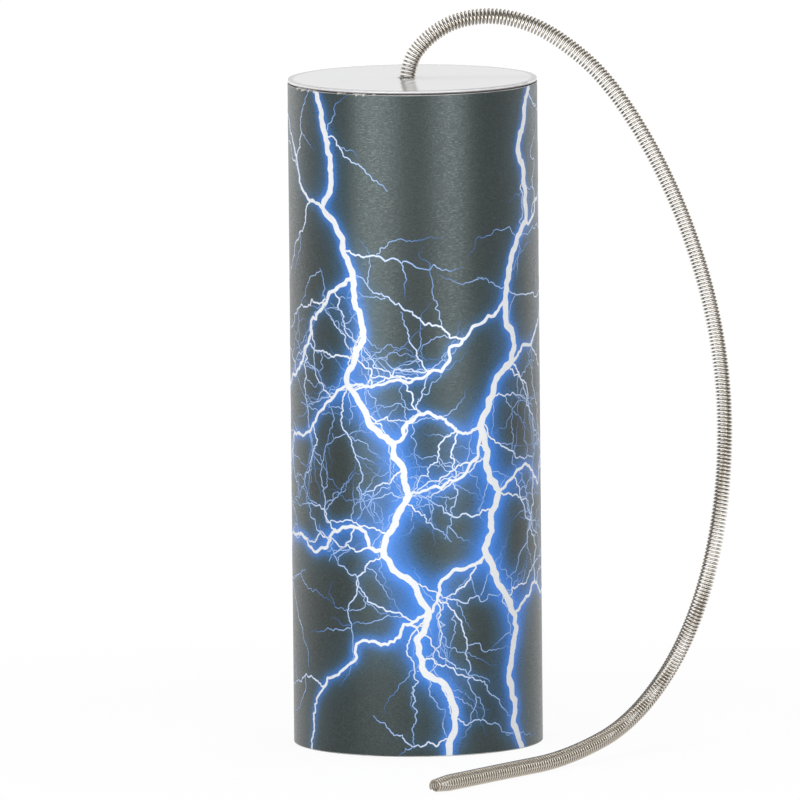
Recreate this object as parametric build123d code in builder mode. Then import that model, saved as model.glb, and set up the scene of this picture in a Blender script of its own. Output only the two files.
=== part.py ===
# Thunder tube: a board tube with a clear drum head and a long coil spring hanging from the head.
# Millimetres. The origin is the middle of the open lower end, on the surface that the tube stands on.
# +Z is up, +X is the side that the spring arches over to and -Y is the front.
from build123d import *
import os
from math import cos, hypot, pi, radians, sin, tan

# Tube: wound board, lined inside and wrapped outside with paper
tube_height = 178.0
bore_diameter = 63.5
liner_thickness = 0.15
board_thickness = 1.2
wrap_thickness = 0.15
paper_foot = 0.1

# Head: a clear plastic disc on a ring of glue
head_thickness = 0.8
head_inset = 0.05
rim_glue_thickness = 0.3
rim_glue_inset = 0.2
rim_glue_recess = 0.6

# Spring: steel wire, its turns drawn wider apart than the real ones
wire_diameter = 0.5
coil_diameter = 4.3
spring_turns = 98
hole_clearance = 0.25

# Dab of glue under the head that grips the spring's inner end
spring_offset = -1.8
root_depth = 6.5
bond_gap = 0.05
anchor_diameter = 16.5
anchor_floor = 1.0

# Breaks in the wire, where the spring swings round the head and where it lifts
swing_gap = 0.2
lift_gap = 0.3
lift_height = 7.0

# Levels and radii that follow
head_bottom = tube_height - head_thickness
rim_top = head_bottom - rim_glue_thickness
bore_radius = bore_diameter / 2
board_inner_radius = bore_radius + liner_thickness
board_outer_radius = board_inner_radius + board_thickness
outer_radius = board_outer_radius + wrap_thickness
head_radius = outer_radius - head_inset
winding_radius = (coil_diameter - wire_diameter) / 2
root_bottom = head_bottom - root_depth
tail_height = coil_diameter / 2 + bond_gap

# Route of the spring's middle line: up through the head, over in an arch, down beside the tube and out
# along the surface in front
route_points = [
    (spring_offset, 0, root_bottom),
    (spring_offset, 0, tube_height + 3.0),
    (3.8, 0, tube_height + 10.8),
    (12.6, 0, tube_height + 15.9),
    (25.0, 0, tube_height + 16.6),
    (38.0, 0.3, tube_height + 11.5),
    (54.1, 0.9, tube_height - 2.8),
    (71.6, 2.0, tube_height - 34.9),
    (82.4, 2.6, 103.9),
    (82.5, -0.5, 64.3),
    (74.0, -10.0, 30.5),
    (57.9, -27.0, 8.3),
    (39.2, -55.6, tail_height),
    (22.4, -77.6, tail_height),
    (3.6, -104.4, tail_height),
]


def bend_radii(points):
    """Radius at each inner point: 0.45 of the shorter run over the tangent of half the turn."""
    corners = [Vector(point) for point in points]
    radii = []
    for before, here, after in zip(corners, corners[1:], corners[2:]):
        run_in = here - before
        run_out = after - here
        half_turn = radians(run_in.get_angle(run_out)) / 2
        radii.append(0.45 * min(run_in.length, run_out.length) / tan(half_turn))
    return radii


route_radii = bend_radii(route_points)
with BuildLine() as route:
    FilletPolyline(*route_points, radius=route_radii)
middle_line = route.wire()
pitch = middle_line.length / spring_turns
wire_per_axis = hypot(1, 2 * pi * winding_radius / pitch)

# Places along the middle line where the stretches of wire begin and end
head_reach = tube_height - root_bottom
lift_reach = head_reach + lift_height
swing_end = wire_diameter + swing_gap / 2
lift_end = (wire_diameter + lift_gap / 2) / wire_per_axis


def coil_point(reach):
    """Middle of the wire after the coil's axis has run this far; at the lift hinge it is in front."""
    axis = middle_line.tangent_at(reach, position_mode=PositionMode.LENGTH)
    front = Vector(0, -1, 0)
    outward = (front - axis * front.dot(axis)).normalized()
    across = axis.cross(outward)
    turn = 2 * pi * (reach - lift_reach) / pitch
    middle = middle_line.position_at(reach, position_mode=PositionMode.LENGTH)
    return middle + (outward * cos(turn) + across * sin(turn)) * winding_radius


def coil_direction(reach):
    """Direction of the wire at this place, from two points close by."""
    step = pitch / 1000
    return (coil_point(reach + step) - coil_point(reach - step)).normalized()


def half_turn_arcs(start, finish, direction_in, direction_out):
    """Two arcs that meet smoothly, from start to finish, with the given directions at their ends."""
    chord = finish - start
    total = direction_in + direction_out
    bend = 2 * (1 - direction_in.dot(direction_out))
    along = chord.dot(total)
    reach = (hypot(along, (bend * chord.dot(chord)) ** 0.5) - along) / bend
    corner_in = start + direction_in * reach
    corner_out = finish - direction_out * reach
    joint = (corner_in + corner_out) / 2
    TangentArc(start, joint, tangent=direction_in)
    TangentArc(joint, finish, tangent=corner_out - corner_in)


def coil_places(begin, end):
    """Places half a turn apart, or a little less, from one end of a stretch to the other."""
    count = max(1, round(2 * (end - begin) / pitch))
    return [begin + (end - begin) * i / count for i in range(count + 1)]


def sweep_coil(begin, end):
    """Sweep the wire over one stretch of the coil, with a straight bit of wire at both ends."""
    places = coil_places(begin, end)
    points = [coil_point(place) for place in places]
    directions = [coil_direction(place) for place in places]
    with BuildLine() as path:
        Line(points[0] - directions[0] * wire_diameter, points[0])
        for i in range(len(points) - 1):
            half_turn_arcs(points[i], points[i + 1], directions[i], directions[i + 1])
        Line(points[-1], points[-1] + directions[-1] * wire_diameter)
    wire = path.wire()
    with BuildSketch(Plane(origin=wire @ 0, z_dir=wire % 0)) as section:
        Circle(wire_diameter / 2)
    sweep(section.sketch, path=wire)
    return wire.length


def ring(inner_radius, outer_radius, bottom, top):
    """Flat ring from one height to another."""
    with BuildSketch(Plane.XY.offset(bottom)) as outline:
        Circle(outer_radius)
        Circle(inner_radius, mode=Mode.SUBTRACT)
    extrude(outline.sketch, amount=top - bottom)


# Board tube
with BuildPart() as tube_core:
    ring(board_inner_radius, board_outer_radius, 0, rim_top)

# White lining paper
with BuildPart() as inner_liner:
    ring(bore_radius, board_inner_radius, paper_foot, rim_top)

# Printed paper
with BuildPart() as printed_wrap:
    ring(board_outer_radius, outer_radius, paper_foot, rim_top)

# Glue line between the rim and the head
with BuildPart() as rim_glue:
    ring(bore_radius + rim_glue_inset, head_radius - rim_glue_recess, rim_top, head_bottom)

# Clear head with the hole that the spring goes through
with BuildPart() as head:
    with BuildSketch(Plane.XY.offset(head_bottom)):
        Circle(head_radius)
        with Locations((spring_offset, 0)):
            Circle(coil_diameter / 2 + hole_clearance, mode=Mode.SUBTRACT)
    extrude(amount=head_thickness)

# Dab of glue round the inner turns, with a blind socket for them
socket_radius = coil_diameter / 2 + bond_gap
socket_bottom = root_bottom - wire_diameter
dab_bottom = socket_bottom - anchor_floor
dab_radius = anchor_diameter / 2
with BuildPart() as anchor_glue:
    with BuildSketch(Plane((spring_offset, 0, 0), x_dir=(1, 0, 0), z_dir=(0, -1, 0))):
        with BuildLine():
            Polyline(
                (0, dab_bottom),
                (0, socket_bottom),
                (socket_radius, socket_bottom),
                (socket_radius, head_bottom),
                (dab_radius, head_bottom),
            )
            TangentArc((0, dab_bottom), (dab_radius, head_bottom), tangent=(1, 0))
        make_face()
    revolve(axis=Axis((spring_offset, 0, 0), (0, 0, 1)))

# Spring, in the stretches between the breaks
stretches = {
    "spring_root": (0, head_reach - swing_end),
    "spring_neck": (head_reach + swing_end, lift_reach - lift_end),
    "spring_free": (lift_reach + lift_end, middle_line.length - pitch / 4),
}
wire_lengths = {}
with BuildPart() as spring_root:
    wire_lengths["spring_root"] = sweep_coil(*stretches["spring_root"])
with BuildPart() as spring_neck:
    wire_lengths["spring_neck"] = sweep_coil(*stretches["spring_neck"])
with BuildPart() as spring_free:
    wire_lengths["spring_free"] = sweep_coil(*stretches["spring_free"])

parts = {
    "tube_core": tube_core.part,
    "inner_liner": inner_liner.part,
    "printed_wrap": printed_wrap.part,
    "rim_glue": rim_glue.part,
    "head": head.part,
    "anchor_glue": anchor_glue.part,
    "spring_root": spring_root.part,
    "spring_neck": spring_neck.part,
    "spring_free": spring_free.part,
}
os.makedirs("parts", exist_ok=True)
for name, solid in parts.items():
    solid.label = name
    export_step(solid, f"parts/{name}.step")

# Report on the spring: bends of its route, room between its turns, and each stretch against its section
print("route length", round(middle_line.length, 2), "visible", round(middle_line.length - head_reach, 2))
print("route radii", [round(radius, 1) for radius in route_radii])
print("pitch", round(pitch, 3))
print("lift hinge at", middle_line.position_at(lift_reach, position_mode=PositionMode.LENGTH))
samples_per_turn = 12
samples = [coil_point(pitch * i / samples_per_turn) for i in range(spring_turns * samples_per_turn)]
apart = samples_per_turn // 2
near = samples_per_turn * 3
least = min((samples[i] - samples[j]).length for i in range(len(samples))
            for j in range(i + apart, min(i + near, len(samples))))
print("least gap between turns", round(least - wire_diameter, 3))
for name, length in wire_lengths.items():
    share = parts[name].volume / (length * pi * wire_diameter ** 2 / 4)
    print(name, "wire", round(length, 1), "volume over section times length", round(share, 5))
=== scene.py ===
# %% [markdown]
# # A thunder tube
#
# A thunder tube is a paper tube with a thin plastic head glued on one end and a long, very soft coil spring
# through the middle of the head. Shaken, the spring rumbles and the tube makes it loud.
#
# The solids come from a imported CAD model, in metres, with +Z up and the front towards -Y. This lesson keeps
# every size of that model and makes the surfaces that the eye sees: the wire, the printed paper, the head
# and the glue.

# %% Load the frame
import math

import bpy
import numpy as np
from mathutils import Matrix, Vector


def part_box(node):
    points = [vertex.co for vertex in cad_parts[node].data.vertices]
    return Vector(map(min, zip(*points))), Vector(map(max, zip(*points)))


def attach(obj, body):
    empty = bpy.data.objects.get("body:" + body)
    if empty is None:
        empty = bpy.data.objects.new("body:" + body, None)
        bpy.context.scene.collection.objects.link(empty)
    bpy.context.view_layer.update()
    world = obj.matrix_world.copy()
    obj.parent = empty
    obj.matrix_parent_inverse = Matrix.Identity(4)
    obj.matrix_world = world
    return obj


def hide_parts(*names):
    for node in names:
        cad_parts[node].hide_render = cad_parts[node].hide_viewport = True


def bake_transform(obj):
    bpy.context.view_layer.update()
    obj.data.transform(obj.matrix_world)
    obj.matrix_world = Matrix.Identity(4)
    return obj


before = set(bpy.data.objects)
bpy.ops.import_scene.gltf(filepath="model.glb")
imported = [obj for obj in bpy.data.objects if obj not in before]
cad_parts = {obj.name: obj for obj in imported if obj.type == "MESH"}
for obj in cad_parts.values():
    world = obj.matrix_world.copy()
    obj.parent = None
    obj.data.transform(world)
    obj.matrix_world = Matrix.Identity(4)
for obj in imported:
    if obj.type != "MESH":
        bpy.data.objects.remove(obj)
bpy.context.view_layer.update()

print("nodes:", sorted(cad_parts))

# %% [markdown]
# ## Sizes
#
# Every size that the model already has is read from it, so that nothing here can drift away from the
# solids.

# %% Read the sizes that the model holds
MM = 0.001
wrap_low, wrap_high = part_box("printed_wrap")
head_low, head_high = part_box("head")
glue_low, glue_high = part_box("rim_glue")
dab_low, dab_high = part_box("anchor_glue")
tube_radius = wrap_high.x
wrap_bottom, wrap_top = wrap_low.z, wrap_high.z
head_radius = head_high.x
head_bottom, head_top = head_low.z, head_high.z
spring_x = (dab_low.x + dab_high.x) / 2
print("tube radius", round(tube_radius / MM, 2), "mm, head top", round(head_top / MM, 2), "mm")

# %% [markdown]
# ## Camera
#
# The tube's upper and lower rims are almost equally wide in the picture, and their ellipses almost equally
# flat, so the picture was taken from far away with a long lens, a little above the tube. The camera stands
# six metres off. The scale, the place of the tube's middle and a slight lean come from the outline of the
# tube.

# %% Set the camera
picture_width = 800
pixels_per_metre = 3748.0
tube_middle_px = (415.4, 409.3)
camera_distance = 6.0
camera_elevation = math.radians(7.05)
camera_roll = math.radians(0.55)
sensor_width_mm = 36.0


def aim_camera():
    """Camera that looks down by the elevation, leans by the roll and has the tube's middle at its pixel."""
    back = Vector((0, -math.cos(camera_elevation), math.sin(camera_elevation)))
    level_right = Vector((1, 0, 0))
    level_up = back.cross(level_right)
    right = level_right * math.cos(camera_roll) - level_up * math.sin(camera_roll)
    up = level_right * math.sin(camera_roll) + level_up * math.cos(camera_roll)
    aside = (tube_middle_px[0] - picture_width / 2) / pixels_per_metre
    above = (picture_width / 2 - tube_middle_px[1]) / pixels_per_metre
    place = Vector((0, 0, head_top / 2)) + back * camera_distance - right * aside - up * above
    data = bpy.data.cameras.new("camera")
    data.sensor_width = sensor_width_mm
    data.lens = sensor_width_mm * camera_distance * pixels_per_metre / picture_width
    data.clip_end = 100
    camera = bpy.data.objects.new("camera", data)
    bpy.context.scene.collection.objects.link(camera)
    camera.matrix_world = Matrix((right, up, back)).transposed().to_4x4()
    camera.location = place
    bpy.context.scene.camera = camera
    return camera


camera = aim_camera()
print("lens", round(camera.data.lens), "mm")

# %% [markdown]
# ## Materials in general
#
# Each finish is one Principled shader with a few texture nodes. A small helper makes the shader and sets
# the sockets that are the same all over. A second one makes a node and joins its inputs. Patterns read
# Object coordinates, which are metres here, so a noise scale is a count of bumps in a metre.


# %% Helpers for shaders and nodes
def finish(name, **sockets):
    """New material with one Principled shader; sockets are given by name with _ for a blank."""
    material = bpy.data.materials.new(name)
    material.use_nodes = True
    shader = material.node_tree.nodes["Principled BSDF"]
    for socket, value in sockets.items():
        shader.inputs[socket.replace("_", " ")].default_value = value
    return material, shader


def node(material, kind, settings=None, **inputs):
    """New node; an input is named, or in and its number, and is a plain value or another node's output."""
    made = material.node_tree.nodes.new(kind)
    for key, value in (settings or {}).items():
        setattr(made, key, value)
    for key, value in inputs.items():
        numbered = key.startswith("in") and key[2:].isdigit()
        socket = made.inputs[int(key[2:])] if numbered else made.inputs[key]
        if isinstance(value, bpy.types.NodeSocket):
            material.node_tree.links.new(value, socket)
        else:
            socket.default_value = value
    return made


def join(material, output, socket):
    """Link an output socket to an input socket."""
    material.node_tree.links.new(output, socket)


# %% Helpers for colours and patterns
def mixed(material, share, first, second, blend="MIX"):
    """Colour between a first and a second one, by a share of 0 to 1."""
    settings = {"data_type": "RGBA", "blend_type": blend}
    return node(material, "ShaderNodeMix", settings, in0=share, in6=first, in7=second).outputs[2]


def graded(material, value, stops):
    """Colour that a value picks between stops of place and colour."""
    ramp = node(material, "ShaderNodeValToRGB", Fac=value)
    elements = ramp.color_ramp.elements
    elements[0].position, elements[0].color = stops[0][0], (*stops[0][1], 1)
    elements[1].position, elements[1].color = stops[-1][0], (*stops[-1][1], 1)
    for place, colour in stops[1:-1]:
        elements.new(place).color = (*colour, 1)
    return ramp.outputs["Color"]


def calculated(material, operation, *values):
    """Output of a Math node that works on one to three values."""
    inputs = {f"in{number}": value for number, value in enumerate(values)}
    return node(material, "ShaderNodeMath", {"operation": operation}, **inputs).outputs[0]


def painted(material, name):
    """Value of a piece's own attribute."""
    return node(material, "ShaderNodeAttribute", {"attribute_name": name}).outputs["Fac"]


def scaled_place(material, scale):
    """Object coordinates times a scale along each axis."""
    place = node(material, "ShaderNodeTexCoord").outputs["Object"]
    scaled = node(material, "ShaderNodeVectorMath", {"operation": "MULTIPLY"}, in0=place, in1=scale)
    return scaled.outputs["Vector"]


def object_noise(material, scale, detail=3.0, roughness=0.55, squeeze=(1, 1, 1)):
    """Noise on Object coordinates, with scale in bumps per metre; a squeeze packs them along an axis."""
    made = node(material, "ShaderNodeTexNoise", Vector=scaled_place(material, squeeze), Scale=scale,
                Detail=detail, Roughness=roughness)
    return made.outputs["Fac"]


def spread(material, value, low, high, to_low, to_high):
    """Value moved from one range to another, and kept inside it."""
    return node(material, "ShaderNodeMapRange", Value=value, in1=low, in2=high, in3=to_low,
                in4=to_high).outputs["Result"]


def add_bump(material, shader, height, depth):
    """Bump from a height output, with its depth in metres."""
    bump = node(material, "ShaderNodeBump", Height=height, Distance=depth, Strength=1.0)
    join(material, bump.outputs["Normal"], shader.inputs["Normal"])


# %% [markdown]
# ## Pieces in general
#
# Every new piece is a grid of points that numpy works out as whole arrays. One helper numbers the squares
# of a grid, and another puts points and squares into a mesh.


# %% Helpers for pieces
def new_piece(name, points, faces, material, smooth_below=40.0):
    """Mesh object from an array of points and lists of corner numbers, smooth except at sharp edges."""
    mesh = bpy.data.meshes.new(name)
    mesh.from_pydata(points.reshape(-1, 3).tolist(), [], faces)
    mesh.shade_smooth()
    mesh.set_sharp_from_angle(angle=math.radians(smooth_below))
    mesh.materials.append(material)
    piece = bpy.data.objects.new(name, mesh)
    bpy.context.scene.collection.objects.link(piece)
    triangles = sum(len(face) - 2 for face in faces)
    print(name, len(mesh.vertices), "points", triangles, "triangles")
    return piece


def grid_faces(rows, columns, close_rows=False, close_columns=False):
    """Corner numbers of a grid's squares; a closed direction joins its last line to its first."""
    i = np.arange(rows if close_rows else rows - 1)[:, None]
    j = np.arange(columns if close_columns else columns - 1)[None, :]
    next_i = (i + 1) % rows
    next_j = (j + 1) % columns
    corners = [i * columns + j, i * columns + next_j, next_i * columns + next_j, next_i * columns + j]
    return np.stack(np.broadcast_arrays(*corners), axis=-1).reshape(-1, 4).tolist()


def paint_points(piece, name, values):
    """Float attribute with one value for each point of a piece."""
    attribute = piece.data.attributes.new(name, "FLOAT", "POINT")
    attribute.data.foreach_set("value", np.ascontiguousarray(values, dtype=np.float32).ravel())


def unit(vectors):
    """Each vector divided by its length."""
    return vectors / np.linalg.norm(vectors, axis=-1, keepdims=True)


def smooth_step(values):
    """0 below 0, 1 above 1 and three squares less two cubes between."""
    x = np.clip(values, 0, 1)
    return x * x * (3 - 2 * x)


def bell(values, middle, width):
    """Bell curve: e to the minus square of the distance from the middle, counted in widths."""
    return np.exp(-((values - middle) / width) ** 2)


# %% [markdown]
# ## Spring
#
# The spring is one steel wire wound into several hundred small turns. Its middle line goes up through the
# head, over in an arch, down beside the tube and out along the surface. The middle line is a NURBS curve on
# the control points that the solid's arcs also follow, to half a millimetre.

# %% Middle line of the spring
tail_z = 0.0022
route = [
    (spring_x, 0, 0.1707),
    (spring_x, 0, 0.1810),
    (0.0038, 0, 0.1888),
    (0.0126, 0, 0.1939),
    (0.0250, 0, 0.1946),
    (0.0380, 0.0003, 0.1895),
    (0.0541, 0.0009, 0.1752),
    (0.0716, 0.0020, 0.1431),
    (0.0824, 0.0026, 0.1039),
    (0.0825, -0.0005, 0.0643),
    (0.0740, -0.0100, 0.0305),
    (0.0579, -0.0270, 0.0083),
    (0.0392, -0.0556, tail_z),
    (0.0224, -0.0776, tail_z),
    (0.0039, -0.1040, tail_z),
]


def smooth_line(name, points, steps_per_span=48):
    """Points along the NURBS curve of order 3 that has these control points and starts and ends on them."""
    curve = bpy.data.curves.new(name, "CURVE")
    curve.dimensions = "3D"
    spline = curve.splines.new("NURBS")
    spline.points.add(len(points) - 1)
    spline.points.foreach_set("co", np.c_[np.array(points), np.ones(len(points))].ravel())
    spline.order_u = 3
    spline.use_endpoint_u = True
    spline.resolution_u = steps_per_span
    holder = bpy.data.objects.new(name, curve)
    mesh = bpy.data.meshes.new_from_object(holder)
    line = np.empty(len(mesh.vertices) * 3)
    mesh.vertices.foreach_get("co", line)
    bpy.data.meshes.remove(mesh)
    bpy.data.objects.remove(holder)
    bpy.data.curves.remove(curve)
    return line.reshape(-1, 3)


middle_line = smooth_line("spring_middle", route)
line_steps = np.linalg.norm(np.diff(middle_line, axis=0), axis=1)
line_reach = np.r_[0, np.cumsum(line_steps)]
head_reach = float(np.interp(head_top, middle_line[:40, 2], line_reach[:40]))
visible_length = float(line_reach[-1] - head_reach)
print("spring above the head", round(visible_length / MM, 1), "mm")

# %% [markdown]
# A helix could be drawn as a curve with a bevel, but a mesh lets its pitch and width change along the way,
# as they do on the real spring: the turns that lie on the surface are a little further apart, and the last
# few turns of the free end are wound narrower. Each point of the wire is the middle line plus a circle that
# turns once for each pitch. The wire itself is a small circle carried along those points.

# %% Turns of the spring
coil_diameter = 4.38 * MM
wire_diameter = 0.5 * MM
end_diameter = 3.3 * MM
end_length = 6.5 * MM
pitch_marks = np.array([0, 30, 90, 105, 150, 180, 205, 220, 240, 248, 258, 275, 310, 335, 350]) * MM
pitch_values = np.array([0.977, 1.0, 0.998, 0.979, 0.981, 0.997, 0.985, 0.98, 0.955, 0.945, 0.99, 1.03,
                         1.04, 1.07, 1.075]) * MM
line_pitch = np.interp(line_reach - head_reach, pitch_marks, pitch_values)
line_turns = np.r_[0, np.cumsum(line_steps * 2 / (line_pitch[1:] + line_pitch[:-1]))]


def line_frames():
    """Front direction made square to the middle line at each of its points, and the cross of the two."""
    along = unit(np.gradient(middle_line, axis=0))
    front = np.array([0.0, -1.0, 0.0])
    outward = unit(front - along * (along @ front)[:, None])
    return outward, np.cross(along, outward)


def wire_points(begin, end, steps_per_turn):
    """Middle of the wire between two reaches: the middle line plus a circle that turns with the pitch."""
    first, last = np.interp([begin, end], line_reach, line_turns)
    turns = np.linspace(first, last, int((last - first) * steps_per_turn) + 2)
    reach = np.interp(turns, line_turns, line_reach)
    outward, across = line_frames()

    def at(values):
        return np.stack([np.interp(reach, line_reach, values[:, k]) for k in range(3)], axis=1)

    angle = 2 * np.pi * turns[:, None]
    radial = unit(at(outward)) * np.cos(angle) + unit(at(across)) * np.sin(angle)
    width = np.interp(line_reach[-1] - reach, [0, end_length], [end_diameter, coil_diameter])
    return at(middle_line) + radial * (width[:, None] - wire_diameter) / 2, radial


def wire_mesh(name, begin, end, material, steps_per_turn=24, sides=8):
    """Round wire along the turns: a circle square to the wire at each of its points, and flat ends."""
    middle, radial = wire_points(begin, end, steps_per_turn)
    along = unit(np.gradient(middle, axis=0))
    radial = unit(radial - along * np.sum(radial * along, axis=1, keepdims=True))
    sideways = np.cross(along, radial)
    angle = np.linspace(0, 2 * np.pi, sides, endpoint=False)[None, :, None]
    circles = radial[:, None] * np.cos(angle) + sideways[:, None] * np.sin(angle)
    points = middle[:, None] + circles * wire_diameter / 2
    faces = grid_faces(len(middle), sides, close_columns=True)
    last = (len(middle) - 1) * sides
    faces.append(list(range(sides))[::-1])
    faces.append(list(range(last, last + sides)))
    piece = new_piece(name, points, faces, material, smooth_below=60)
    # Share of each point that faces out of the coil: it sets the polish and paints shade on the inner side.
    paint_points(piece, "outward_shade_and_polish", np.tile(np.clip(np.cos(angle).ravel(), 0, 1), len(middle)))
    return piece


def steel_wire():
    """Nickel-grey spring steel: polished outward, rougher and with painted shade inside and between turns."""
    material, shader = finish("spring_steel", Metallic=1.0)
    patches = object_noise(material, 260.0)
    outward_shade_and_polish = painted(material, "outward_shade_and_polish")
    rubbed = mixed(material, patches, (0.60, 0.545, 0.465, 1), (0.72, 0.66, 0.575, 1))
    # Inner and side faces of the turns get a darker colour: painted shade between and inside the turns.
    tone = mixed(material, spread(material, outward_shade_and_polish, 0.0, 0.9, 0.0, 1.0), (0.37, 0.332, 0.278, 1), rubbed)
    join(material, tone, shader.inputs["Base Color"])
    polish = spread(material, patches, 0.25, 0.75, 0.16, 0.26)
    rough = spread(material, outward_shade_and_polish, 0.0, 0.8, 0.35, 0.0)
    join(material, calculated(material, "ADD", polish, rough), shader.inputs["Roughness"])
    return material


wire_material = steel_wire()
neck_length = 15 * MM
neck_end = head_reach + neck_length
spring_coil = wire_mesh("spring_coil", neck_end, line_reach[-1], wire_material)
neck_coil = wire_mesh("neck_coil", head_reach, neck_end, wire_material)
root_coil = wire_mesh("root_coil", 0.0, head_reach, wire_material)
print("turns in all", round(float(line_turns[-1])))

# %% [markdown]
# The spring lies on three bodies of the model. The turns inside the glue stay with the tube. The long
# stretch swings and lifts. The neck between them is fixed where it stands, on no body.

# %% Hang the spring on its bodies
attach(spring_coil, "spring")
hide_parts("spring_free")
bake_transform(neck_coil)
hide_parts("spring_neck")
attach(root_coil, "tube")
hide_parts("spring_root")

# %% [markdown]
# ## Printed wrap
#
# The wrap is a sheet of printed and laminated paper, rolled once round the board and glued down on itself
# in a lap at the back. A cylinder would show no lap and no edge, so the sheet is a grid that runs a little
# more than once round. Its last part climbs over its beginning, and its cut edges show the white of the
# paper.

# %% Sheet of the wrap
sheet_thickness = 0.15 * MM
lap_width = 8 * MM
lap_climb = 3 * MM
seam_angle = math.radians(164)
sheet_length = 2 * math.pi * tube_radius + lap_width
worn_width = 0.35 * MM


def around(angle, radius, height):
    """Points on rings round the tube's axis; the angle is counted from the front towards +X."""
    angle, radius, height = np.broadcast_arrays(angle, radius, height)
    return np.stack([radius * np.sin(angle), -radius * np.cos(angle), height], axis=-1)


def climb_at(travel):
    """How far the sheet stands off the board after so much of its length: one thickness more on the lap."""
    return sheet_thickness * smooth_step((travel - (sheet_length - lap_width - lap_climb)) / lap_climb)


def sheet_rows(count=282):
    """Heights of the sheet's rows: even steps, and three more rows close to each edge."""
    edge = np.array([0.0, 0.2, 0.55, 1.0]) * worn_width
    inner = np.linspace(wrap_bottom, wrap_top, count)[1:-1]
    return np.r_[wrap_bottom + edge, inner, wrap_top - edge[::-1]]


def roll_sheet(columns=318):
    """Sheet rolled round the tube: outer face row by row, then the inner face one thickness further in."""
    travel = np.linspace(0, sheet_length, columns)[None, :]
    angle = seam_angle - 2 * math.pi + travel / tube_radius
    outer = sheet_rows()
    height = np.r_[outer, wrap_top, wrap_bottom][:, None]
    inward = np.r_[np.zeros(len(outer)), 1, 1][:, None] * sheet_thickness
    points = around(angle, tube_radius + climb_at(travel) - inward, height)
    faces = grid_faces(len(height), columns, close_rows=True)
    first = list(range(0, len(height) * columns, columns))
    last = [corner + columns - 1 for corner in first]
    printed_faces = (len(outer) - 1) * (columns - 1)
    return points, faces + [first[::-1], last], printed_faces


sheet_points, sheet_faces, printed_faces = roll_sheet()
print("sheet", round(sheet_length / MM, 1), "mm long with its lap,", printed_faces, "printed squares")

# %% [markdown]
# ## Lightning print
#
# The print is lightning on a dark ground. Lightning is a broken line whose every run is broken again, so
# each bolt starts as a few marks on the unrolled sheet, and every run is halved several times with its
# middle pushed aside. All of it is drawn in millimetres on the unrolled sheet, where x runs round the tube
# from the front towards +X and y runs up. Four bolts run the whole height, and weaker ones link them in the
# middle.

# %% Marks of the bolts on the unrolled sheet
main_marks = [
    [(-30, 178), (-24, 160), (-27, 146), (-17, 128), (-14, 112), (-19, 99), (-6, 84), (-2, 70), (-9, 55),
     (3, 38), (1, 24), (10, 12), (8, -2)],
    [(40, 178), (33, 160), (37, 141), (27, 121), (29, 104), (18, 88), (24, 70), (19, 55), (30, 36), (27, 20),
     (33, -2)],
    [(93, 178), (99, 151), (88, 129), (96, 104), (83, 84), (92, 56), (84, 31), (90, -2)],
    [(-78, 178), (-70, 150), (-82, 127), (-73, 101), (-60, 88), (-70, 66), (-64, 40), (-76, 20), (-72, -2)],
]
side_marks = [
    [(-17, 128), (-29, 118), (-37, 104), (-49, 97), (-60, 88)],
    [(-6, 84), (4, 92), (11, 87), (18, 88)],
    [(29, 104), (41, 109), (50, 121), (62, 126), (74, 139)],
    [(27, 121), (15, 113), (7, 103), (-5, 101), (-19, 99)],
    [(-9, 55), (-21, 61), (-30, 54), (-42, 57), (-53, 47)],
    [(18, 88), (9, 74), (-2, 70)],
    [(24, 70), (36, 76), (45, 70), (56, 78), (69, 76), (83, 84)],
    [(3, 38), (-8, 30), (-15, 31), (-27, 20), (-33, 8), (-35, -2)],
    [(19, 55), (8, 48), (3, 38)],
    [(30, 36), (41, 44), (47, 40), (58, 49)],
    [(-27, 146), (-38, 152), (-43, 163), (-52, 170)],
    [(-19, 99), (-33, 86), (-44, 84), (-55, 70), (-70, 66)],
    [(37, 141), (48, 147), (53, 160), (64, 168)],
    [(92, 56), (104, 66), (118, 61), (132, 58)],
    [(-82, 127), (-95, 119), (-103, 105), (-113, 104)],
]
dice = np.random.default_rng(11)


def break_runs(marks, push, halvings):
    """Each run is halved again and again, and its middle moves aside by a random share of its length."""
    line = np.array(marks, dtype=float)
    for _ in range(halvings):
        run = np.diff(line, axis=0)
        square = np.stack([-run[:, 1], run[:, 0]], axis=1)
        middle = (line[1:] + line[:-1]) / 2 + square * dice.normal(0, push, (len(run), 1))
        broken = np.empty((2 * len(line) - 1, 2))
        broken[0::2], broken[1::2] = line, middle
        line = broken
    return line


mains = [break_runs(marks, push=0.09, halvings=4) for marks in main_marks]
sides = [break_runs(marks, push=0.12, halvings=4) for marks in side_marks]
print("bolts:", len(mains), "mains and", len(sides), "sides")

# %% [markdown]
# Branches leave the bolts, and hairs leave the branches. They are random, so they come from a walk whose
# heading drifts. More of them grow in the middle band, where the bolts meet, than towards the ends.


# %% Branches and hairs
def crowd(height, least=0.35, middle=86, width=36):
    """Share of twigs that grow at a height: all in the middle band, and fewer towards the ends."""
    return least + (1 - least) * bell(height, middle, width)


def wander(start, heading, length, marks=6):
    """Marks from a start along a heading in radians that drifts at random."""
    turns = heading + np.cumsum(dice.normal(0, 0.3, marks))
    steps = np.stack([np.sin(turns), np.cos(turns)], axis=1) * length / marks
    return np.vstack([start, start + np.cumsum(steps, axis=0)])


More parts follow.
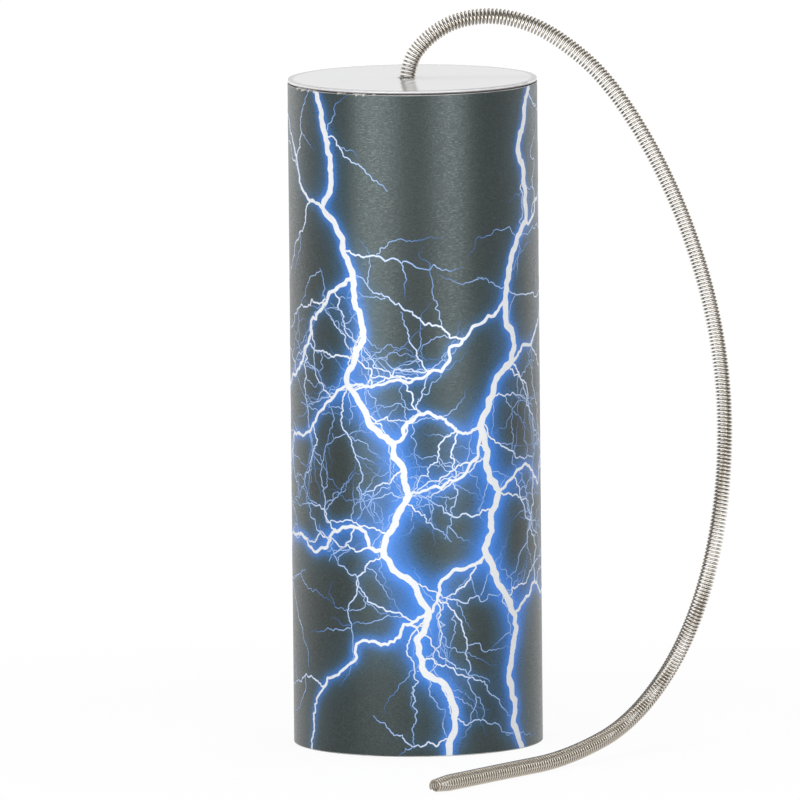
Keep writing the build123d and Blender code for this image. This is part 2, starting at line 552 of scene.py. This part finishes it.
def twigs(parents, spacing, lengths, push, halvings):
    """Thinner bolts that leave their parents every so often, to either side, by less than a half turn."""
    grown = []
    for parent in parents:
        reach = np.r_[0, np.cumsum(np.linalg.norm(np.diff(parent, axis=0), axis=1))]
        places = np.arange(dice.uniform(0, spacing), reach[-1], spacing)
        for place in places + dice.normal(0, spacing / 4, len(places)):
            corner = min(max(int(np.searchsorted(reach, place)), 1), len(parent) - 1)
            if dice.uniform() > crowd(parent[corner][1]):
                continue
            run = parent[corner] - parent[max(corner - 3, 0)]
            heading = math.atan2(run[0], run[1]) + dice.choice([-1, 1]) * dice.uniform(0.4, 1.5)
            marks = wander(parent[corner], heading, dice.uniform(*lengths))
            grown.append(break_runs(marks, push, halvings))
    return grown


branches = twigs(mains, spacing=9.0, lengths=(14, 46), push=0.15, halvings=4)
branches += twigs(sides, spacing=8.0, lengths=(12, 40), push=0.15, halvings=4)
hairs = twigs(branches, spacing=8.0, lengths=(6, 24), push=0.16, halvings=3)
print("twigs:", len(branches), "branches and", len(hairs), "hairs")

# %% [markdown]
# The blue glow round the bolts is smooth, so it needs no lines of its own. The ink is counted on a grid of
# the unrolled sheet, blurred there, and read back at any point as an attribute. The blur is done with a
# Fourier transform, which also joins the two ends of the sheet. All ink has a near glow, the bolts have a
# wide one as well, and both are stronger in the lower half, where the bolts crowd together.

# %% Glow round the bolts
glow_cell = 0.6
glow_margin = 40
round_mm = 2 * math.pi * tube_radius / MM


def count_ink(groups):
    """Length of ink times weight in each cell of the unrolled sheet, with a margin above and below."""
    columns = int(round(round_mm / glow_cell))
    rows = int(round(wrap_top / MM / glow_cell)) + 2 * glow_margin
    ink = np.zeros((rows, columns))
    for lines, weight in groups:
        for line in lines:
            steps = np.linspace(0, len(line) - 1, len(line) * 6)
            x = np.interp(steps, np.arange(len(line)), line[:, 0])
            y = np.interp(steps, np.arange(len(line)), line[:, 1])
            length = np.r_[0, np.hypot(np.diff(x), np.diff(y))]
            column = np.floor(x / round_mm * columns).astype(int) % columns
            row = np.clip(np.floor(y / glow_cell).astype(int) + glow_margin, 0, rows - 1)
            np.add.at(ink, (row, column), length * weight / glow_cell)
    return ink


def blur(ink, width):
    """The grid smoothed by a bell curve of this width in millimetres, as a product of Fourier transforms."""
    waves_y = np.fft.fftfreq(ink.shape[0], glow_cell)[:, None]
    waves_x = np.fft.fftfreq(ink.shape[1], glow_cell)[None, :]
    kept = np.exp(-2 * (math.pi * width) ** 2 * (waves_x ** 2 + waves_y ** 2))
    return np.real(np.fft.ifft2(np.fft.fft2(ink) * kept))


bolt_ink = count_ink([(mains, 2.0), (sides, 0.75)])
twig_ink = count_ink([(branches, 0.18), (hairs, 0.05)])
row_height = (np.arange(len(bolt_ink)) + 0.5 - glow_margin) * glow_cell
row_share = 0.70 + 0.95 * bell(row_height, middle=52, width=46)[:, None]
near_glow = 4.6 * blur(bolt_ink + twig_ink, width=1.3)
wide_glow = 7.2 * blur(bolt_ink, width=4.9)
ink_light = 1 - np.exp(-row_share * (near_glow + wide_glow))


def glow_at(points):
    """Glow at points of the wrap: the light of the four nearest cells, by how near each is."""
    angle = np.arctan2(points[..., 0], -points[..., 1])
    x = np.mod(angle / (2 * math.pi), 1) * ink_light.shape[1] - 0.5
    y = points[..., 2] / MM / glow_cell - 0.5 + glow_margin
    x0, y0 = np.floor(x).astype(int), np.floor(y).astype(int)
    share_x, share_y = x - x0, y - y0
    left, right = x0 % ink_light.shape[1], (x0 + 1) % ink_light.shape[1]
    lower = ink_light[y0, left] * (1 - share_x) + ink_light[y0, right] * share_x
    upper = ink_light[y0 + 1, left] * (1 - share_x) + ink_light[y0 + 1, right] * share_x
    return lower * (1 - share_y) + upper * share_y


print("glow", round(float(ink_light.mean()), 3), "on average")

# %% [markdown]
# Each bolt becomes a flat ribbon of ink just above the paper. A shader alone could not hold lines this thin
# without a picture, and real ribbons stay sharp from any distance. A bolt is a white core on a slightly
# wider fringe that fades to nothing at its edges. A hair has only the fading part. The fringes lie below
# all the cores, so that the whites of two bolts run together where they meet.


# %% Strokes of the bolts
def even_steps(line, step):
    """Points at even steps along a broken line, from where it comes onto the sheet to where it goes off."""
    reach = np.r_[0, np.cumsum(np.linalg.norm(np.diff(line, axis=0), axis=1))]
    places = np.linspace(0, reach[-1], max(5, int(reach[-1] / step) + 1))
    even = np.stack([np.interp(places, reach, line[:, k]) for k in range(2)], axis=1)
    on_sheet = (even[:, 1] > wrap_bottom / MM - step) & (even[:, 1] < wrap_top / MM + step)
    begin = int(np.argmax(on_sheet))
    off = ~on_sheet[begin:]
    return even[begin:begin + int(np.argmax(off))] if off.any() else even[begin:]


def neighbour_mean(values, width):
    """Each value averaged over an odd number of neighbours, with the ends repeated."""
    padded = np.pad(values, ((width // 2, width // 2), (0, 0)), mode="edge")
    sums = np.cumsum(np.vstack([np.zeros((1, values.shape[1])), padded]), axis=0)
    return (sums[width:] - sums[:-width]) / width


def strokes(lines, step, width, taper, uneven, window=5):
    """For each line: even points, the direction square to it, and half its width, uneven and tapering."""
    made = []
    for line in lines:
        even = even_steps(line, step)
        if len(even) < 5:
            continue
        along = unit(neighbour_mean(np.gradient(even, axis=0), window) + 1e-9)
        square = np.stack([-along[:, 1], along[:, 0]], axis=1)
        share = np.linspace(0, 1, len(even))
        rough = neighbour_mean(dice.normal(0, 1, (len(even), 1)), 3)[:, 0]
        half = width / 2 * dice.uniform(0.85, 1.15) * (1 - (1 - taper) * share) * (1 + uneven * rough)
        made.append((even, square, half))
    return made


main_strokes = strokes(mains, step=0.55, width=1.80, taper=1.0, uneven=0.16, window=7)
side_strokes = strokes(sides, step=0.40, width=0.90, taper=0.75, uneven=0.16)
branch_strokes = strokes(branches, step=0.34, width=0.42, taper=0.45, uneven=0.15)
hair_strokes = strokes(hairs, step=0.38, width=0.24, taper=0.5, uneven=0.0, window=3)
print("strokes:", len(main_strokes) + len(side_strokes) + len(branch_strokes) + len(hair_strokes))


# %% Ribbons of ink
ribbon_step = 0.00001


def sheet_top(angle):
    """Radius of the outermost face of the sheet at an angle from the front."""
    travel = np.mod(angle - seam_angle, 2 * math.pi) * tube_radius
    return tube_radius + np.where(travel < lap_width, sheet_thickness, climb_at(travel))


def ribbon(stroke, edges, lift):
    """Points across a stroke: shares of its half width plus a fixed reach, laid on the wrap."""
    even, square, half = stroke
    shares, reaches = np.array(edges)[:, :2].T
    offset = half[:, None] * shares + reaches
    flat = even[:, None] + square[:, None] * offset[..., None]
    angle = flat[..., 0] * MM / tube_radius
    height = np.clip(flat[..., 1] * MM, wrap_bottom, wrap_top)
    return around(angle, sheet_top(angle) + lift, height)


def lay_ink(groups):
    """All ribbons as one mesh, each a trifle above the last, with the strength of white at each point."""
    points, faces, white = [], [], []
    count = 0
    for group, edges, fade, lift in groups:
        strengths = np.array(edges)[:, 2]
        for number, stroke in enumerate(group):
            strip = ribbon(stroke, edges, (lift + number * ribbon_step) * MM)
            dim = 1 - (1 - fade) * np.linspace(0, 1, len(strip)) ** 1.5
            points.append(strip.reshape(-1, 3))
            faces.append(np.array(grid_faces(len(strip), len(edges)))[:, ::-1] + count)
            white.append((dim[:, None] * strengths).ravel())
            count += strip.shape[0] * strip.shape[1]
    return np.vstack(points), np.vstack(faces).tolist(), np.concatenate(white)


def fringe(reach, strength):
    """Edges of a fringe: nothing at its reach beyond the core, and its strength under the core."""
    return [(-1, -reach, 0.0), (-1, 0, strength), (1, 0, strength), (1, reach, 0.0)]


# Edges: share of the half width, reach beyond it in millimetres, and strength of white
core = [(-1, 0, 1.0), (0, 0, 1.0), (1, 0, 1.0)]
thin_core = [(-1, 0, 1.0), (1, 0, 1.0)]
hair = [(-1, -0.1, 0.0), (0, 0, 0.85), (1, 0.1, 0.0)]
# Groups: strokes, their edges, what is left of the white at the far end, and lift in millimetres
ink_points, ink_faces, ink_white = lay_ink([
    (hair_strokes, hair, 0.1, 0.010),
    (branch_strokes, fringe(0.16, 0.6), 0.3, 0.014),
    (side_strokes, fringe(0.20, 0.55), 0.8, 0.018),
    (main_strokes, fringe(0.22, 0.6), 1.0, 0.021),
    (branch_strokes, thin_core, 0.45, 0.025),
    (side_strokes, thin_core, 0.95, 0.029),
    (main_strokes, core, 1.0, 0.033),
])
print("ink", len(ink_points), "points")

# %% [markdown]
# The finish of the print is one material for the paper and the ribbons. The ground is near black with a
# fine grain, the glow attribute adds blue, and the white attribute covers both. Over it lies a satin film.
# Fine fibres that run round the tube make it duller and glossier in turn, which shows as grain in the bands
# of light. At the upper and lower edge the print is worn through to the paper.


# %% Finish of the print
glow_blues = [(0.0, (0.0, 0.0, 0.0)), (0.15, (0.001, 0.006, 0.009)), (0.3, (0.003, 0.022, 0.038)),
              (0.5, (0.007, 0.060, 0.150)), (0.7, (0.012, 0.130, 0.460)), (0.9, (0.026, 0.205, 0.750)),
              (1.0, (0.050, 0.260, 0.860))]
strike_whites = [(0.25, (0.06, 0.24, 0.74)), (0.6, (0.38, 0.55, 0.86)), (1.0, (0.90, 0.91, 0.93))]
bare_paper = (0.66, 0.66, 0.65, 1)


def printed_laminate():
    """Near-black ink with grain; blue by glow, white by strike, bare paper by wear; satin film on top."""
    material, shader = finish("printed_laminate", IOR=1.65, Specular_Tint=(0.85, 1.0, 1.0, 1),
                              Sheen_Weight=0.06, Sheen_Roughness=0.3)
    grain = object_noise(material, 1900.0, roughness=0.75)
    fibres = object_noise(material, 1000.0, detail=4.0, roughness=0.75, squeeze=(1, 1, 3))
    cloud = object_noise(material, 70.0)
    both = calculated(material, "MULTIPLY_ADD", fibres, 0.6, grain)
    speck = spread(material, both, 0.74, 1.0, 0.0, 1.0)
    ground = mixed(material, speck, (0.001, 0.002, 0.002, 1), (0.030, 0.042, 0.041, 1))
    ground = mixed(material, spread(material, cloud, 0.3, 0.7, 0.0, 0.5), ground, (0.002, 0.006, 0.006, 1))
    blue = graded(material, painted(material, "glow"), glow_blues)
    lit = mixed(material, 1.0, ground, blue, "SCREEN")
    white = painted(material, "white")
    strike = graded(material, white, strike_whites)
    struck = mixed(material, spread(material, white, 0.0, 0.55, 0.0, 1.0), lit, strike)
    rubbed = calculated(material, "MULTIPLY_ADD", cloud, 1.2, painted(material, "wear"))
    worn = spread(material, rubbed, 1.05, 1.45, 0.0, 0.85)
    join(material, mixed(material, worn, struck, bare_paper), shader.inputs["Base Color"])
    join(material, spread(material, fibres, 0.3, 0.7, 0.47, 0.19), shader.inputs["Roughness"])
    add_bump(material, shader, fibres, 0.00004)
    return material


def white_paper(name):
    """Uncoated white paper with fine fibres."""
    material, shader = finish(name, Roughness=0.85)
    fibres = object_noise(material, 1800.0, detail=5.0, roughness=0.7)
    join(material, mixed(material, fibres, (0.70, 0.69, 0.66, 1), (0.84, 0.84, 0.82, 1)),
         shader.inputs["Base Color"])
    add_bump(material, shader, fibres, 0.00003)
    return material


print_material = printed_laminate()
paper_material = white_paper("cut_paper")

# %% [markdown]
# The sheet and the ribbons become two pieces with that finish. The sheet's inner face and its cut edges are
# bare paper.


# %% Pieces of the wrap
def wear_at(points):
    """1 at the upper and lower edge of the wrap, falling to 0 over the worn width."""
    from_edge = np.minimum(wrap_top - points[..., 2], points[..., 2] - wrap_bottom)
    return 1 - np.clip(from_edge / worn_width, 0, 1)


wrap_sheet = new_piece("wrap_sheet", sheet_points, sheet_faces, print_material)
wrap_sheet.data.materials.append(paper_material)
face_finish = np.zeros(len(sheet_faces), dtype=np.int32)
face_finish[printed_faces:] = 1
wrap_sheet.data.polygons.foreach_set("material_index", face_finish)
lightning_ink = new_piece("lightning_ink", ink_points, ink_faces, print_material)
for piece, points, white in ((wrap_sheet, sheet_points, np.zeros(sheet_points.shape[:2])),
                             (lightning_ink, ink_points, ink_white)):
    paint_points(piece, "glow", glow_at(points))
    paint_points(piece, "white", white)
    paint_points(piece, "wear", wear_at(points))
    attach(piece, "tube")
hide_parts("printed_wrap")

# %% [markdown]
# ## Board and lining
#
# The tube itself is wound from many plies of grey board and lined with white paper. Their solids are
# already right, so they keep them and only get a finish: plies that show as fine rings on the cut lower
# edge, and the slanting seam where one turn of the lining laps the next.


# %% Board and lining finishes
ply_thickness = 0.24 * MM
lining_turn = 45 * MM


def axis_distance(material):
    """Distance from the tube's axis in metres: the length of a place without its height."""
    flat = scaled_place(material, (1, 1, 0))
    return node(material, "ShaderNodeVectorMath", {"operation": "LENGTH"}, in0=flat).outputs["Value"]


def ply_board():
    """Grey board: fibres in the colour, and rings at the spacing of the plies where the board is cut."""
    material, shader = finish("ply_board", Roughness=0.9)
    fibres = object_noise(material, 1500.0, detail=5.0, roughness=0.7)
    per_metre = 2 * math.pi / ply_thickness
    wobble = calculated(material, "MULTIPLY_ADD", axis_distance(material), per_metre, fibres)
    rings = spread(material, calculated(material, "SINE", wobble), -1.0, 1.0, 0.15, 0.5)
    share = calculated(material, "MULTIPLY_ADD", fibres, 0.5, rings)
    join(material, mixed(material, share, (0.27, 0.235, 0.185, 1), (0.55, 0.49, 0.40, 1)),
         shader.inputs["Base Color"])
    add_bump(material, shader, share, 0.00006)
    return material


def wound_lining():
    """White paper with a raised seam that climbs by one turn of the lining each time round the tube."""
    material = white_paper("wound_lining")
    shader = material.node_tree.nodes["Principled BSDF"]
    axes = node(material, "ShaderNodeSeparateXYZ", Vector=scaled_place(material, (1, 1, 1)))
    angle = calculated(material, "ARCTAN2", axes.outputs["Y"], axes.outputs["X"])
    turn = calculated(material, "MULTIPLY", angle, -0.5 / math.pi)
    climb = calculated(material, "MULTIPLY_ADD", axes.outputs["Z"], 1 / lining_turn, turn)
    phase = calculated(material, "FRACT", climb)
    add_bump(material, shader, spread(material, phase, 0.0, 0.16, 1.0, 0.0), 0.0002)
    return material


for name, material in (("tube_core", ply_board()), ("inner_liner", wound_lining())):
    for slot in bpy.data.objects[name].material_slots:
        slot.material = material
    print(name, "has", material.name)

# %% [markdown]
# ## Head
#
# The head is a disc of thin milky plastic with polished faces and a hole for the spring a little off its
# middle. Between the hole and the rim every point is a blend of a point on the hole's edge and one on the
# rim's edge, so that one grid makes the whole disc, and its edges are rounded by two more rows. The polish
# matters: at this low angle the head mirrors the white behind it, and the foot of the spring. Over the
# board the plastic is painted a grey ring, partly the board seen through it and partly painted shade, and
# low on its edge a painted dark line stands for the shade of the recess under it.

# %% Disc of the head
hole_clearance = 0.05 * MM
hole_radius = coil_diameter / 2 + hole_clearance
edge_round = 0.1 * MM
# Radii where the head's grey ring starts and is full: board seen through the plastic, and painted shade.
board_shade_start = 31.5 * MM
board_shade_full = 32.1 * MM
# Heights on the head's edge where the painted shade of the recess under it is full and where it ends.
gap_shade_full = head_bottom + 0.15 * MM
gap_shade_end = head_bottom + 0.4 * MM


def head_disc(columns=240):
    """Closed loop of rows from the hole over the top to the rim and back below; a row blends two circles."""
    soft = edge_round / (head_radius - hole_radius)
    top = [0, soft, 2 * soft, 0.2, 0.5, 0.8, 1 - 2 * soft, 1 - soft, 1]
    share = np.array(top + top[::-1])[:, None, None]
    drop = np.array([edge_round, *[0] * 7, edge_round])
    height = np.r_[head_top - drop, head_bottom + drop][:, None]
    angle = np.linspace(0, 2 * math.pi, columns, endpoint=False)[None, :]
    hole = around(angle, hole_radius, 0.0) + np.array([spring_x, 0, 0])
    rim = around(angle, head_radius, 0.0)
    points = hole * (1 - share) + rim * share
    points[..., 2] = height
    return points, grid_faces(len(share), columns, close_rows=True, close_columns=True)


def milky_plastic():
    """Pale polished sheet with haze; grey ring of board and painted shade; painted shade line low on edge."""
    material, shader = finish("milky_plastic", IOR=1.49, Transmission_Weight=0.06)
    radius = axis_distance(material)
    over_board_shade = spread(material, radius, board_shade_start, board_shade_full, 0.0, 1.0)
    off_edge = spread(material, radius, head_radius - edge_round, head_radius, 1.0, 0.0)
    shade = calculated(material, "MULTIPLY", over_board_shade, off_edge)
    axes = node(material, "ShaderNodeSeparateXYZ", Vector=scaled_place(material, (1, 1, 1)))
    low = spread(material, axes.outputs["Z"], gap_shade_full, gap_shade_end, 1.0, 0.0)
    on_edge = spread(material, radius, head_radius - edge_round, head_radius, 0.0, 1.0)
    painted_gap_shade = calculated(material, "MULTIPLY", low, on_edge)
    haze = object_noise(material, 700.0)
    clear = mixed(material, haze, (0.89, 0.892, 0.898, 1), (0.92, 0.922, 0.928, 1))
    # Grey over the board: the board seen through the plastic, and painted shade where it keeps light out.
    tone = mixed(material, shade, clear, (0.42, 0.43, 0.45, 1))
    # Near-black low on the edge: painted shade of the recess between the head and the wrap.
    join(material, mixed(material, painted_gap_shade, tone, (0.10, 0.075, 0.085, 1)), shader.inputs["Base Color"])
    join(material, spread(material, haze, 0.3, 0.7, 0.08, 0.12), shader.inputs["Roughness"])
    add_bump(material, shader, object_noise(material, 45.0, detail=1.0), 0.00002)
    return material


disc_points, disc_faces = head_disc()
drum_head = new_piece("drum_head", disc_points, disc_faces, milky_plastic(), smooth_below=60)
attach(drum_head, "tube")
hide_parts("head")

# %% [markdown]
# ## Glue
#
# The head is stuck on with glue that dries clear. Most of it sits back under the edge, where its colour is
# a painted shade that makes a dark line, but on the front left some was squeezed out and dried in pale
# lumps. The bead is a small oval carried round the rim. Bell curves make it swell and sag in those places,
# and the same curves tell its finish where it is pale.

# %% Bead round the rim
bead_width = 0.65 * MM
bead_wander = 0.03 * MM
lump_out = 0.95 * MM
lump_swell = 0.06 * MM
lump_rise = 0.28 * MM
lump_sag = 0.30 * MM
glue_outer = glue_high.x
glue_inner = glue_outer - bead_width
lump_marks = np.array([(-66, 2.2, 0.8), (-61, 2.0, 1.0), (-56, 1.8, 0.7), (-52, 1.2, 0.9), (-36, 1.4, 0.8),
                       (-33, 0.8, 0.5), (-27, 1.5, 0.9), (-23.5, 1.4, 0.8), (-18, 1.3, 0.45)])


def lumps_at(angle):
    """Sum of bell curves, each with its place and width in degrees and its size."""
    degrees = np.degrees((angle + np.pi) % (2 * np.pi) - np.pi)
    place, width, size = lump_marks.T
    return (size * bell(degrees[..., None], place, width)).sum(axis=-1)


def ripple(angle, waves, seed):
    """Sum of cosines round the circle with random phases, scaled to about -1 to 1."""
    counts = np.array(waves)
    phases = np.random.default_rng(seed).uniform(0, 2 * np.pi, len(counts))
    return np.cos(angle[..., None] * counts + phases).sum(axis=-1) / math.sqrt(len(counts))


def rim_bead(columns=1440, sides=10):
    """Oval section round the rim, whose middle moves out and down and whose size swells at the lumps."""
    angle = np.linspace(0, 2 * math.pi, columns, endpoint=False)
    lumps = lumps_at(angle) * (1 + 0.25 * ripple(angle, (97, 131, 173), 4))
    out = np.minimum(lumps, 1) * lump_out + ripple(angle, (9, 17, 30), 5) * bead_wander
    middle = (glue_inner + glue_outer) / 2 + out
    half_width = bead_width / 2 + lumps * lump_swell
    half_height = (glue_high.z - glue_low.z) / 2 + lumps * lump_rise
    level = (glue_high.z + glue_low.z) / 2 - lumps * lump_sag
    turn = np.linspace(0, 2 * math.pi, sides, endpoint=False)[None, :]
    radius = middle[:, None] + half_width[:, None] * np.cos(turn)
    height = level[:, None] + half_height[:, None] * np.sin(turn)
    return around(angle[:, None], radius, height), grid_faces(columns, sides, True, True), lumps


def dried_glue(name, thin, thick):
    """Dried glue, glossy and a bit cloudy: a first colour, painted shade on the rim, up to thick glue's."""
    material, shader = finish(name, Roughness=0.25, IOR=1.47)
    cloudy = object_noise(material, 1200.0, detail=4.0)
    tone = mixed(material, spread(material, painted(material, "pale"), 0.1, 0.5, 0.0, 1.0), thin, thick)
    tone = mixed(material, spread(material, cloudy, 0.35, 0.75, 0.0, 0.45), tone, (0.16, 0.15, 0.14, 1))
    join(material, tone, shader.inputs["Base Color"])
    add_bump(material, shader, cloudy, 0.00005)
    return material


bead_points, bead_faces, bead_lumps = rim_bead()
# The rim bead's first colour is near black: painted shade of the recess under the head's edge.
bead_glue_and_gap_shade = dried_glue("rim_glue_dry_and_gap_shade", (0.07, 0.055, 0.06, 1), (0.66, 0.65, 0.61, 1))
glue_bead = new_piece("glue_bead", bead_points, bead_faces, bead_glue_and_gap_shade)
paint_points(glue_bead, "pale", np.repeat(bead_lumps, bead_points.shape[1]))
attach(glue_bead, "tube")
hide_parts("rim_glue")

# %% [markdown]
# The dab under the head that holds the spring is a lumpy dome of the same glue. It is a grid as well: rings
# from the head out to the dab's edge and down to its lowest point.


# %% Dab under the head
def glue_dab(columns=72, rows=18):
    """Dome under the head, from its middle out to a wavy edge and down to the lowest point."""
    angle = np.linspace(0, 2 * math.pi, columns, endpoint=False)[None, :]
    slope = np.linspace(math.pi / 2, 0.02, rows)
    share = np.r_[0.02, np.sin(slope)][:, None]
    depth = np.r_[0.0, np.cos(slope) ** 0.9][:, None]
    size = (dab_high.x - dab_low.x) / 2
    wavy = np.minimum(1 + 0.045 * ripple(angle, (2, 3, 5, 8), 6) * share, 1.0)
    sag = 1 - 0.03 * ripple(angle, (3, 4, 7), 7) * share
    height = head_bottom - depth * (head_bottom - dab_low.z) * sag
    points = around(angle, size * share * wavy, height) + np.array([spring_x, 0, 0])
    faces = grid_faces(rows + 1, columns, close_columns=True)
    last = rows * columns
    return points, faces + [list(range(columns))[::-1], list(range(last, last + columns))]


dab_points, dab_faces = glue_dab()
dab_material = dried_glue("dab_glue_dry", (0.62, 0.60, 0.53, 1), (0.80, 0.78, 0.70, 1))
holding_dab = new_piece("holding_dab", dab_points, dab_faces, dab_material)
paint_points(holding_dab, "pale", np.full(dab_points.shape[:2], 0.4))
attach(holding_dab, "tube")
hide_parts("anchor_glue")

# %% [markdown]
# ## Floor
#
# The picture's ground is plain white. The floor is matt and takes the shadow, but to the camera, and in
# reflections, most of it is plain white, and all of it further away.

# %% Floor
floor_reach = 30
floor_corners = [(x * floor_reach, y * floor_reach, 0) for x, y in ((-1, -1), (1, -1), (1, 1), (-1, 1))]
floor_mesh = bpy.data.meshes.new("floor")
floor_mesh.from_pydata(floor_corners, [], [(0, 1, 2, 3)])
floor = bpy.data.objects.new("floor", floor_mesh)
bpy.context.scene.collection.objects.link(floor)


def pale_floor():
    """White floor: mostly plain white to the camera and in reflections, all of it far off; the rest matt."""
    material, shader = finish("pale_floor", Base_Color=(0.86, 0.86, 0.86, 1), Roughness=0.9)
    plain = node(material, "ShaderNodeEmission", Color=(1, 1, 1, 1), Strength=1.03)
    path = node(material, "ShaderNodeLightPath")
    seen = calculated(material, "MAXIMUM", path.outputs["Is Camera Ray"], path.outputs["Is Glossy Ray"])
    seen = calculated(material, "MAXIMUM", seen, path.outputs["Is Transmission Ray"])
    white = spread(material, axis_distance(material), 0.12, 0.4, 0.90, 1.0)
    mix = node(material, "ShaderNodeMixShader", Fac=calculated(material, "MULTIPLY", seen, white))
    join(material, shader.outputs[0], mix.inputs[1])
    join(material, plain.outputs[0], mix.inputs[2])
    join(material, mix.outputs[0], material.node_tree.nodes["Material Output"].inputs["Surface"])
    return material


floor_mesh.materials.append(pale_floor())
print("floor", 2 * floor_reach, "metres wide")

# %% [markdown]
# ## Light
#
# Two small soft lamps stand low in front, left and right, and make the two bands of light on the film. A
# wide one further off lights the front, a wide one above lights the head, and two behind brighten the
# tube's outline. The room is white behind the tube and dim in front of it, which gives the wire its dark
# and bright sides.


# %% Lamps and world
def soft_lamp(name, place, target, size, power):
    """Rectangular area lamp that looks at a target."""
    data = bpy.data.lights.new(name, "AREA")
    data.shape = "RECTANGLE"
    data.size, data.size_y = size
    data.energy = power
    lamp = bpy.data.objects.new(name, data)
    bpy.context.scene.collection.objects.link(lamp)
    lamp.location = place
    lamp.visible_camera = False
    lamp.rotation_euler = (Vector(target) - Vector(place)).to_track_quat("-Z", "Y").to_euler()


def studio_world():
    """Strength by direction: a white wall behind that fades upwards, and a dim sky, brighter overhead."""
    world = bpy.data.worlds.new("studio")
    world.use_nodes = True
    background = world.node_tree.nodes["Background"]
    background.inputs["Color"].default_value = (1, 1, 1, 1)
    place = node(world, "ShaderNodeTexCoord")
    axes = node(world, "ShaderNodeSeparateXYZ", Vector=place.outputs["Generated"])
    behind = spread(world, axes.outputs["Y"], 0.0, 0.75, 0.0, 1.0)
    level = spread(world, axes.outputs["Z"], 0.25, 0.7, 1.0, 0.0)
    wall = calculated(world, "MULTIPLY", behind, level)
    sky = spread(world, axes.outputs["Z"], 0.5, 1.0, 0.13, 0.38)
    strength = calculated(world, "MULTIPLY_ADD", wall, 0.86, sky)
    join(world, strength, background.inputs["Strength"])
    bpy.context.scene.world = world


# Lamps: name, place, target, width and height in metres, and power in watts
lamps = [
    ("lamp_left", (-0.285, -0.415, 0.15), (0, 0, 0.15), (0.34, 0.24), 1.0),
    ("lamp_right", (0.28, -0.42, 0.15), (0, 0, 0.15), (0.24, 0.24), 0.7),
    ("lamp_front", (0, -1.3, 0.45), (0, 0, 0.1), (0.9, 0.9), 2.1),
    ("lamp_top", (0, 0.1, 1.7), (0, 0, 0.1), (0.9, 0.9), 6.4),
    ("lamp_back_left", (-0.9, 0.85, 0.35), (0, 0, 0.1), (0.8, 1.0), 1.5),
    ("lamp_back_right", (0.9, 0.85, 0.35), (0, 0, 0.1), (0.8, 1.0), 1.1),
]
for lamp in lamps:
    soft_lamp(*lamp)
studio_world()
print("lamps:", len(lamps))
bpy.context.scene.view_settings.view_transform = "Standard"
